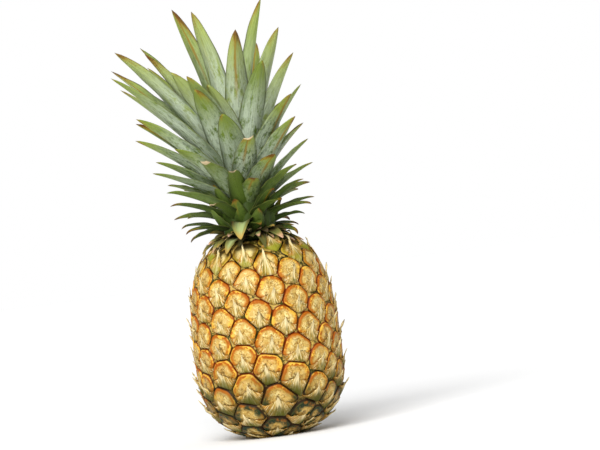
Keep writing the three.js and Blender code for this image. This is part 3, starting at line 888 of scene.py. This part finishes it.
def leaf_run(leaf, share):
    """A leaf's midrib as points, and at each the ways across its blade and up out of its channel."""
    root = np.array(leaf.root)
    chord = np.array(leaf.tip) - root
    flat = math.hypot(chord[0], chord[1])
    outward = np.array([chord[0] / flat, chord[1] / flat, 0])
    up = np.array([0, 0, 1.0])
    side = np.cross(up, outward)
    slope = math.atan2(chord[2], flat)
    length = np.linalg.norm(chord) * leaf.arch / math.sin(leaf.arch)

    def pitch(share):
        hook = leaf.hook * np.clip((share - HOOK_START) / (1 - HOOK_START), 0, 1)
        return (slope + leaf.arch * (1 - 2 * share) - hook)[:, None]

    middle = pitch((share[1:] + share[:-1]) / 2)
    steps = np.cos(middle) * outward + np.sin(middle) * up
    midrib = root + np.concatenate([[np.zeros(3)], np.cumsum(steps, axis=0)]) * length / LEAF_SECTIONS
    inward = np.cos(pitch(share)) * up - np.sin(pitch(share)) * outward
    roll = (leaf.twist * share)[:, None]
    return midrib, np.cos(roll) * side + np.sin(roll) * inward, np.cos(roll) * inward - np.sin(roll) * side


def add_leaf(parts, leaf, rng):
    """One closed blade round an arched midrib, its channel towards the crown's middle."""
    share = np.linspace(0, 1, LEAF_SECTIONS + 1)
    midrib, across, floor = leaf_run(leaf, share)
    along = share * leaf.left
    half = leaf.width / 2 * leaf_width_share(along, leaf.taper)
    thick = np.interp(along, [0, 1], LEAF_THICKNESSES)
    waves = LEAF_WAVE * leaf.width * np.array([wander(rng, len(share), LEAF_WAVES) for _ in range(2)])
    is_cut = leaf.left < 1
    rings = len(share) if is_cut else len(share) - 1
    column = np.linspace(-1, 1, LEAF_COLUMNS + 1)
    points = []
    for k in range(rings):
        bend = np.abs(column) ** LEAF_CURVE * 2 * half[k] * LEAF_CHANNEL
        wave = np.where(column < 0, *waves[:, k]) * np.abs(column) ** 3 * math.sin(math.pi * share[k])
        body = thick[k] / 2 * (1 - column ** 2)
        line = midrib[k] + np.outer(column * half[k], across[k])
        if is_cut and k == rings - 1:
            torn = rng.uniform(*LEAF_TEAR, len(column))
            line = line + np.outer(torn, np.cross(floor[k], across[k]))
        outer, inner = (line + np.outer(bend + wave + side, floor[k]) for side in (-body, body))
        points += [outer, inner[-2:0:-1]]
    ring = np.append(column, column[-2:0:-1])
    inside = np.repeat([0.0, 1.0], [len(column), len(column) - 2])
    measures = np.array([np.repeat(along[:rings], len(ring)), np.tile(ring, rings), np.tile(inside, rings)])
    if not is_cut:
        points.append(midrib[-1:])
        measures = np.append(measures, [[1], [0], [0.5]], axis=1)
    tint = rng.uniform()
    parts.add(
        np.concatenate(points), tube_faces(rings, len(ring), is_cut),
        along=measures[0], across=measures[1], inside=measures[2],
        tint=tint if leaf.tint is None else leaf.tint, rank=leaf.rank, dry=is_cut,
    )


def build_crown(material):
    rng = np.random.default_rng(CROWN_SEED)
    draws = Draws(RANDOM_SEED)
    leaves = crown_leaves(draws)
    half = LEAVES // 2
    groups = {
        "crown_outer_leaves": leaves[:half],
        "crown_inner_leaves": leaves[half:],
        "crown_sheaths": sheaths(draws),
    }
    for name, group in groups.items():
        parts = Parts()
        for leaf in group:
            leaf.hook = rng.uniform(*LEAF_HOOKS) * max(0, 1 - HOOK_FADE * leaf.rank)
            add_leaf(parts, leaf, rng)
        parts.piece(name, material, "leaf", "crown")


def build_heart(material):
    """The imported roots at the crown's middle, which show only as dark gaps between the leaves."""
    turn = turns_round(HEART_SIDES)
    rings = []
    for rise, radius in HEART:
        fluted = radius * MM * (1 + HEART_FLUTING * np.cos(HEART_FLUTES * turn + HEART_SPIRAL * rise))
        rings.append(circle(turn, fluted, CROWN_FOOT + rise * MM, -CROWN_OFFSET))
    parts = Parts()
    faces = tube_faces(len(HEART), HEART_SIDES, True)
    parts.add(np.concatenate(rings), faces, along=0, across=0, inside=0, tint=0.4, rank=0, dry=0)
    parts.piece("crown_heart", material, "leaf", "crown")


# ---- the collar ----
def hanging_leaf():
    """The pale one in front."""
    return Leaf(
        root=crown_point(-8 * DEGREE, 17 * MM, 14 * MM),
        tip=listed_tip(-9, -46, 3),
        width=20 * MM,
        arch=42 * DEGREE,
        twist=0.2,
        tint=0.96,
    )


def build_collar(material):
    rng = np.random.default_rng(COLLAR_SEED)
    parts = Parts()
    tips = [listed_tip(*tip) for tip in COLLAR_TIPS]
    for _, angle in spiral(COLLAR_LEAVES, LEAF_PHASE):
        tips.append(crown_point(angle, rng.uniform(*COLLAR_REACHES), rng.uniform(*COLLAR_RISES), 0))
    for tip in tips:
        angle = math.atan2(tip.x + CROWN_OFFSET, -tip.y)
        add_leaf(parts, Leaf(
            root=crown_point(angle, COLLAR_ROOT_RADIUS, rng.uniform(*COLLAR_ROOT_RISES)),
            tip=tip,
            width=rng.uniform(*COLLAR_WIDTHS),
            arch=rng.uniform(*COLLAR_ARCHES),
            twist=rng.uniform(-COLLAR_TWIST, COLLAR_TWIST),
        ), rng)
    add_leaf(parts, hanging_leaf(), rng)
    parts.piece("collar_leaves", material, "leaf")


# ---- the stalk ----
def build_stalk(material):
    """The stub that fills the fruit's socket, its cut face flush with the foot."""
    rng = np.random.default_rng(STALK_SEED)
    turn = turns_round(STALK_SIDES)
    radius = STALK_RADIUS * (1 - STALK_ROUGH * np.abs(wander(rng, STALK_SIDES, (5, 9, 13))))
    rings = [(share, lift * MM) for share, lift in CUT_FACE] + [(1, STALK_LENGTH)]
    points = [circle(turn, share * radius, lift) for share, lift in rings]
    parts = Parts()
    faces = tube_faces(len(rings), STALK_SIDES, True)
    parts.add(np.concatenate(points), faces, ring=np.repeat([share for share, _ in rings], STALK_SIDES))
    parts.piece("stalk_end", material, "stalk", "stalk")


# ---- finishes ----
CREAM = srgb(75, 62, 33)
PALE = srgb(87, 80, 54)
GOLD = srgb(69, 44, 3)
HONEY_HIGHLIGHT = srgb(88, 70, 26)
AMBER = srgb(50, 35, 7)
ORANGE = srgb(62, 29, 0)
LINE_BROWN = srgb(41, 14, 0)
LINE_GREEN = srgb(24, 22, 4)
GROOVE_DARK = srgb(12, 10, 3)
OLIVE = srgb(42, 33, 10)
MOSS = srgb(10, 18, 9)
EYE_GREEN = srgb(50, 49, 10)
MARGIN_SHADOW_BROWN = srgb(34, 23, 4)
STRAW = srgb(71, 59, 29)


def rind_finish():
    finish = Finish("rind_finish", CREAM, Specular_IOR_Level=0.14)
    ring, across, above = finish.measures("ring", "across", "above")
    corner, lip, tint = finish.measures("corner", "lip", "tint")
    height = finish.height()
    blotch = finish.noise(scale=210, detail=4, roughness=0.65)
    speck = finish.noise(scale=620, roughness=0.6)
    broad = finish.noise(scale=45, detail=2)
    foot = (height + broad.swing(40 * MM)).rise(68 * MM, 20 * MM)
    shoulder = height.rise(128 * MM, 147 * MM)
    wobble = blotch.swing(0.5) + tint.swing(0.16)
    patch = finish.noise(scale=150, detail=4, roughness=0.6)
    # Painted highlights: pale glints scattered over the eyes.
    finish.coat(PALE, (blotch * 0.6 + speck * 0.6).rise(0.58, 0.66))
    finish.coat(GOLD, (speck + tint.swing(0.1)).rise(0.53, 0.62) * 0.6)
    crack = abs(patch - 0.5).rise(0.032, 0.006)
    finish.coat(AMBER, crack * (speck + 0.1).rise(0.45, 0.6) * 0.9)
    finish.coat(PALE, shoulder * ring.rise(0.75, 0.4) * 0.6)
    finish.coat(GOLD, (ring + wobble).rise(0.55, 0.78) * 0.9)
    upper = (above * 0.5 + 0.75).clamped()
    finish.coat(ORANGE, (ring + wobble * 0.7).rise(0.64, 0.82) * upper * (0.75 + 0.25 * tint))
    # Painted highlights: honey-coloured glints on the eyes' rims.
    rim_highlight = (patch * 0.7 + speck * 0.5).rise(0.62, 0.7) * ring.rise(0.5, 0.7)
    finish.coat(HONEY_HIGHLIGHT, rim_highlight * 0.85)
    fold = (lip + blotch.swing(2.4)).rise(1.6, 0.4) * abs(across).rise(0.3, 0.6)
    finish.coat(ORANGE, fold * 0.6)
    # Painted shadow: broken brown patches on the skin along each bract's margin.
    margin_shadow_patches = (blotch + tint.swing(0.2)).rise(0.44, 0.54)
    finish.coat(MARGIN_SHADOW_BROWN, (lip + speck.swing(5)).rise(1.7, 0.3) * margin_shadow_patches * 0.8)
    unripe = (above + blotch.swing(1.5)).rise(0.5, -0.3) * 0.6 + 0.25
    finish.coat(EYE_GREEN, shoulder * (ring + wobble).rise(0.5, 0.8) * unripe)
    # Painted shadow under the collar: the top of the barrel turns dark green, near black on the eyes' upper
    # halves.
    under = (height + blotch.swing(16 * MM)).rise(141 * MM, 152 * MM) * ring.rise(0.3, 0.7)
    finish.coat(LINE_GREEN, under * 0.85)
    finish.coat(GROOVE_DARK, under * (above + patch - 0.5).rise(0.1, 0.6) * 0.8)
    # Olive on the lowest rows, more on each eye's lower half, with dark green patches.
    lower_rows = foot * (ring + wobble * 1.4 - across * 0.12).rise(0.25, 0.6)
    finish.coat(OLIVE, lower_rows * (0.8 - 0.65 * above.clamped()))
    moss = (patch + (speck + ring + foot) * 0.4 - 0.8).rise(0.42, 0.66)
    finish.coat(MOSS, lower_rows * moss)
    # A pale-gold band just inside each eye's line: partly the rim's own golden colour, partly painted
    # highlight.
    crest = (ring + speck.swing(0.12)).rise(0.8, 0.87) * (patch + tint.swing(0.2)).rise(0.46, 0.56)
    finish.coat(HONEY_HIGHLIGHT, crest * (0.75 - 0.7 * foot - 0.45 * shoulder))
    line = (ring + speck.swing(0.06)).rise(0.9, 0.945)
    stain = (broad + corner * 0.12 - above * 0.08).rise(0.54, 0.64)
    finish.coat(finish.mix(LINE_BROWN, LINE_GREEN, stain), line)
    # Darker in the grooves, most on the lowest and top rows: partly the grooves' own dark colour, partly
    # painted shade.
    gap = (broad.swing(2) + foot * 1.7 + shoulder).rise(0.1, 0.8)
    finish.coat(GROOVE_DARK, (ring + foot * 0.04).rise(0.9, 0.96) * gap * 0.9)
    junction = (ring + speck.swing(0.04)).rise(0.95, 0.97) * corner.rise(0.2, 0.5)
    tissue = finish.mix(STRAW, LINE_GREEN, (patch + speck.swing(0.6) + foot * 0.1).rise(0.46, 0.58))
    finish.coat(tissue, junction * (1 - foot * 0.5))
    return finish.done(0.3 + 0.35 * blotch, blotch + 0.45 * speck, 0.9 * MM)


BRACT_WHITE = srgb(91, 84, 64)
BRACT_GOLD = srgb(72, 47, 10)
TAN = srgb(50, 33, 8)
GREY_GREEN = srgb(38, 36, 12)
BRACT_GREEN = srgb(36, 40, 8)
BRACT_LIME = srgb(52, 52, 11)
BRACT_PINK = srgb(74, 57, 39)
BRACT_FOOT = srgb(26, 25, 5)


def bract_finish():
    finish = Finish("bract_finish", STRAW, Specular_IOR_Level=0.12)
    ray, along, across, tint = finish.measures("ray", "along", "across", "tint")
    height = finish.height()
    streaks = finish.noise(ray * 16, along * 0.8, tint * 40, scale=1.6, roughness=0.65)
    bands = finish.noise(ray * 6, along * 2.2, tint * 70, scale=1.4)
    broad = finish.noise(scale=45, detail=2)
    foot = (height + broad.swing(36 * MM)).rise(66 * MM, 36 * MM)
    ground = height.rise(26 * MM, 12 * MM)
    shoulder = height.rise(125 * MM, 148 * MM)
    finish.coat(BRACT_WHITE, streaks.rise(0.5, 0.4) * 0.9)
    wing = (abs(across) + bands.swing(0.8)).rise(0.3, 0.75)
    finish.coat(BRACT_GOLD, wing * streaks.rise(0.36, 0.52) * 0.6)
    finish.coat(TAN, streaks.rise(0.53, 0.63) * 0.85)
    finish.coat(GREY_GREEN, bands.rise(0.53, 0.64) * 0.7)
    finish.coat(BRACT_PINK, bands.rise(0.42, 0.3) * along.rise(0.4, 0.9) * 0.4)
    spine = abs(across + streaks.swing(0.4)).rise(0.26, 0.06) * along.rise(0.25, 0.7)
    finish.coat(BRACT_WHITE, spine * 0.9)
    centre = abs(across + bands.swing(0.6)).rise(0.75, 0.15) * along.rise(0.75, 0.1)
    finish.coat(BRACT_GREEN, centre * (0.15 + 0.75 * foot + 0.3 * shoulder))
    rim = (along + bands.swing(0.4)).rise(0.42, 0.1)
    finish.coat(BRACT_LIME, rim * shoulder * 0.9)
    # Darker towards the base of the bracts on the lowest rows.
    darker_base = foot * (1 - ground * 0.6) * (along + bands.swing(1.2)).rise(0.85, 0.4)
    finish.coat(BRACT_FOOT, darker_base * 0.8)
    edge = abs(across + streaks.swing(0.3)).rise(0.75, 0.98)
    finish.coat(TAN, edge * 0.6)
    return finish.done(0.5 + 0.25 * streaks, streaks, 0.7 * MM)


LEAF_GREEN = srgb(42, 51, 18)
LEAF_DARK = srgb(18, 26, 6)
LEAF_SHADE = srgb(8, 8, 1)
LEAF_FRESH = srgb(62, 67, 27)
LEAF_PALE = srgb(72, 77, 46)
LEAF_BLOOM = srgb(80, 85, 76)
LEAF_EDGE = srgb(62, 62, 28)
LEAF_GOLD = srgb(58, 44, 10)
LEAF_BROWN = srgb(38, 21, 6)
LEAF_DRY = srgb(90, 80, 64)


def leaf_finish():
    finish = Finish("leaf_finish", LEAF_GREEN, Specular_IOR_Level=0.22)
    along, across, inside = finish.measures("along", "across", "inside")
    tint, rank, dry = finish.measures("tint", "rank", "dry")
    other = (tint * 7.3).fraction()
    third = (tint * 17.9).fraction()
    veins = finish.noise(across * 30, along * 1.6, tint * 90, roughness=0.65)
    patches = finish.noise(across * 1.8, along * 7, tint * 60, scale=1.3, detail=5, roughness=0.7)
    mottle = finish.noise(across * 4, along * 11, tint * 35, scale=1.6, detail=4, roughness=0.7)
    low = rank.rise(0.46, 0.12)
    finish.coat(LEAF_DARK, low * 0.62 + third * 0.2)
    young = (along + patches.swing(0.9)).rise(0.5, 1.0) * (0.25 + 0.6 * other)
    finish.coat(LEAF_FRESH, young * (1 - low * 0.7))
    high = (rank + tint.swing(0.1)).rise(0.66, 0.86)
    finish.coat(LEAF_PALE, high * (0.55 - 0.3 * inside))
    bloom = (patches + veins * 0.4).rise(0.54, 0.72) * (along + patches.swing(0.5)).rise(0.95, 0.5)
    finish.coat(LEAF_BLOOM, bloom * rank.rise(0.26, 0.58) * (0.88 - 0.5 * inside))
    finish.coat(LEAF_DARK, veins.rise(0.5, 0.68) * 0.55)
    spots = mottle.rise(0.52, 0.6) * along.rise(0.1, 0.3) * along.rise(0.95, 0.65)
    finish.coat(LEAF_DARK, spots * (0.25 + 0.5 * other) * (1 - high * 0.5))
    shade = (abs(across) + patches.swing(0.7)).rise(0.6, 1.0) * along.rise(0.95, 0.4)
    finish.coat(LEAF_DARK, shade * 0.65)
    # Painted shade: every leaf darker towards its root.
    finish.coat(LEAF_DARK, along.rise(0.42, 0.08) * 0.55)
    finish.coat(LEAF_SHADE, (along * 0.8 + rank * 1.4).rise(0.7, 0.2) * (0.16 + 0.36 * third))
    border = (abs(across) + patches.swing(0.5)).rise(0.4, 0.9) * along.rise(0.85, 0.35)
    finish.coat(LEAF_SHADE, border * low * 0.6)
    finish.coat(LEAF_EDGE, abs(across).rise(0.93, 0.99) * 0.4)
    midrib = abs(across + other.swing(0.5) + patches.swing(0.3)).rise(0.17, 0.04)
    streak = midrib * along.rise(0.45, 0.75) * other.rise(0.55, 0.65)
    finish.coat(LEAF_GOLD, streak * 0.8)
    end = along + patches.swing(0.3) + other.swing(0.12) + low * 0.06 + across * third.swing(0.2)
    finish.coat(LEAF_GOLD, end.rise(0.88, 1.0) * 0.75)
    finish.coat(LEAF_BROWN, end.rise(0.95, 1.04) * 0.85)
    finish.coat(LEAF_DRY, dry * along.rise(0.885, 0.9) * 0.9)
    return finish.done(0.42 + 0.25 * patches, veins, 0.5 * MM)


COLLAR_DARK = srgb(15, 15, 5)
COLLAR_GREEN = srgb(50, 52, 26)
COLLAR_PINK = srgb(86, 68, 58)
COLLAR_PALE = srgb(63, 69, 45)


def collar_finish():
    # The ground is near black: partly the dry leaves' own dark colour, partly painted shade of the hollow
    # under the crown; it stays at the roots and on leaves with a low tint.
    finish = Finish("collar_finish", COLLAR_DARK, Specular_IOR_Level=0.25)
    along, across, tint = finish.measures("along", "across", "tint")
    other = (tint * 7.3).fraction()
    veins = finish.noise(across * 14, along * 1.2, tint * 90)
    run = along + veins.swing(0.4)
    finish.coat(COLLAR_GREEN, run.rise(0.45, 0.75) * tint)
    ridge = abs(across + veins.swing(0.8)).rise(0.9, 0.1)
    finish.coat(COLLAR_PALE, tint.rise(0.91, 0.94) * run.rise(0.15, 0.5) * ridge)
    finish.coat(STRAW, run.rise(0.7, 0.95) * tint.rise(0.45, 0.7))
    finish.coat(COLLAR_PINK, run.rise(0.74, 0.95) * other.rise(0.5, 0.75) * 0.8)
    finish.coat(TAN, veins.rise(0.5, 0.68) * 0.6)
    return finish.done(0.6 + 0.15 * veins, veins, 0.5 * MM)


STALK_PALE = srgb(80, 68, 42)
STALK_BROWN = srgb(52, 36, 16)
STALK_DARK = srgb(36, 24, 10)


def stalk_finish():
    finish = Finish("stalk_finish", STALK_PALE, Specular_IOR_Level=0.2)
    ring, = finish.measures("ring")
    fibres = finish.noise(scale=900, roughness=0.7)
    stain = finish.noise(scale=90)
    finish.coat(STALK_BROWN, fibres.rise(0.45, 0.62))
    finish.coat(STALK_DARK, (ring + stain.swing(0.3)).rise(0.78, 0.98))
    return finish.done(0.75 + 0.15 * fibres, fibres, 0.8 * MM)


# ---- the studio ----
def add_floor():
    finish = Finish("floor_finish", FLOOR_WHITE, Roughness=0.9, Specular_IOR_Level=0.1)
    corners = [(x * FLOOR_SIZE, y * FLOOR_SIZE, 0) for x, y in ((-1, -1), (1, -1), (1, 1), (-1, 1))]
    floor = new_object("floor", new_mesh("floor", corners, [(0, 1, 2, 3)], finish.material))


def add_world():
    """An even white surround that lights the fruit more softly than it looks."""
    world = bpy.data.worlds.new("surround")
    bpy.context.scene.world = world
    world.use_nodes = True
    tree = world.node_tree
    background = tree.nodes["Background"]
    background.inputs["Color"].default_value = (1, 1, 1, 1)
    path = tree.nodes.new("ShaderNodeLightPath")
    strength = tree.nodes.new("ShaderNodeMapRange")
    strength.inputs["To Min"].default_value = SURROUND_LIGHT
    tree.links.new(path.outputs["Is Camera Ray"], strength.inputs["Value"])
    tree.links.new(strength.outputs["Result"], background.inputs["Strength"])


def add_light(name, kind, place, strength, **settings):
    """A light that shines from a place towards the fruit's middle."""
    data = bpy.data.lights.new(name, kind)
    data.energy = strength
    for key, value in settings.items():
        setattr(data, key, value)
    light = new_object(name, data)
    light.location = place
    light.rotation_euler = (FRUIT_MIDDLE - Vector(place)).to_track_quat("-Z", "Y").to_euler()


def add_camera():
    """A level camera in front, rolled about the way it looks."""
    across, up = CAMERA_AIM
    data = bpy.data.cameras.new("camera")
    data.sensor_width = SENSOR_WIDTH
    data.lens = SENSOR_WIDTH * CAMERA_DISTANCE / FRAME_WIDTH
    camera = new_object("camera", data)
    lean, level = math.sin(CAMERA_ROLL), math.cos(CAMERA_ROLL)
    camera.matrix_world = Matrix((
        (level, lean, 0, across),
        (0, 0, -1, -CAMERA_DISTANCE),
        (-lean, level, 0, up),
        (0, 0, 0, 1),
    ))
    bpy.context.scene.camera = camera


def build():
    add_camera()
    add_world()
    add_floor()
    add_light("key", "SUN", place=(-0.4, -1.7, 1.35), strength=3.4, angle=40 * DEGREE)
    add_light("gleam", "AREA", place=(-0.7, -1.5, 1.2), strength=5, size=0.5)
    bpy.context.scene.view_settings.view_transform = "Standard"
    eyes, grooves = make_eyes()
    build_rind(eyes, grooves, rind_finish())
    build_bracts(eyes, bract_finish())
    leaf = leaf_finish()
    build_crown(leaf)
    build_heart(leaf)
    build_collar(collar_finish())
    build_stalk(stalk_finish())


build()
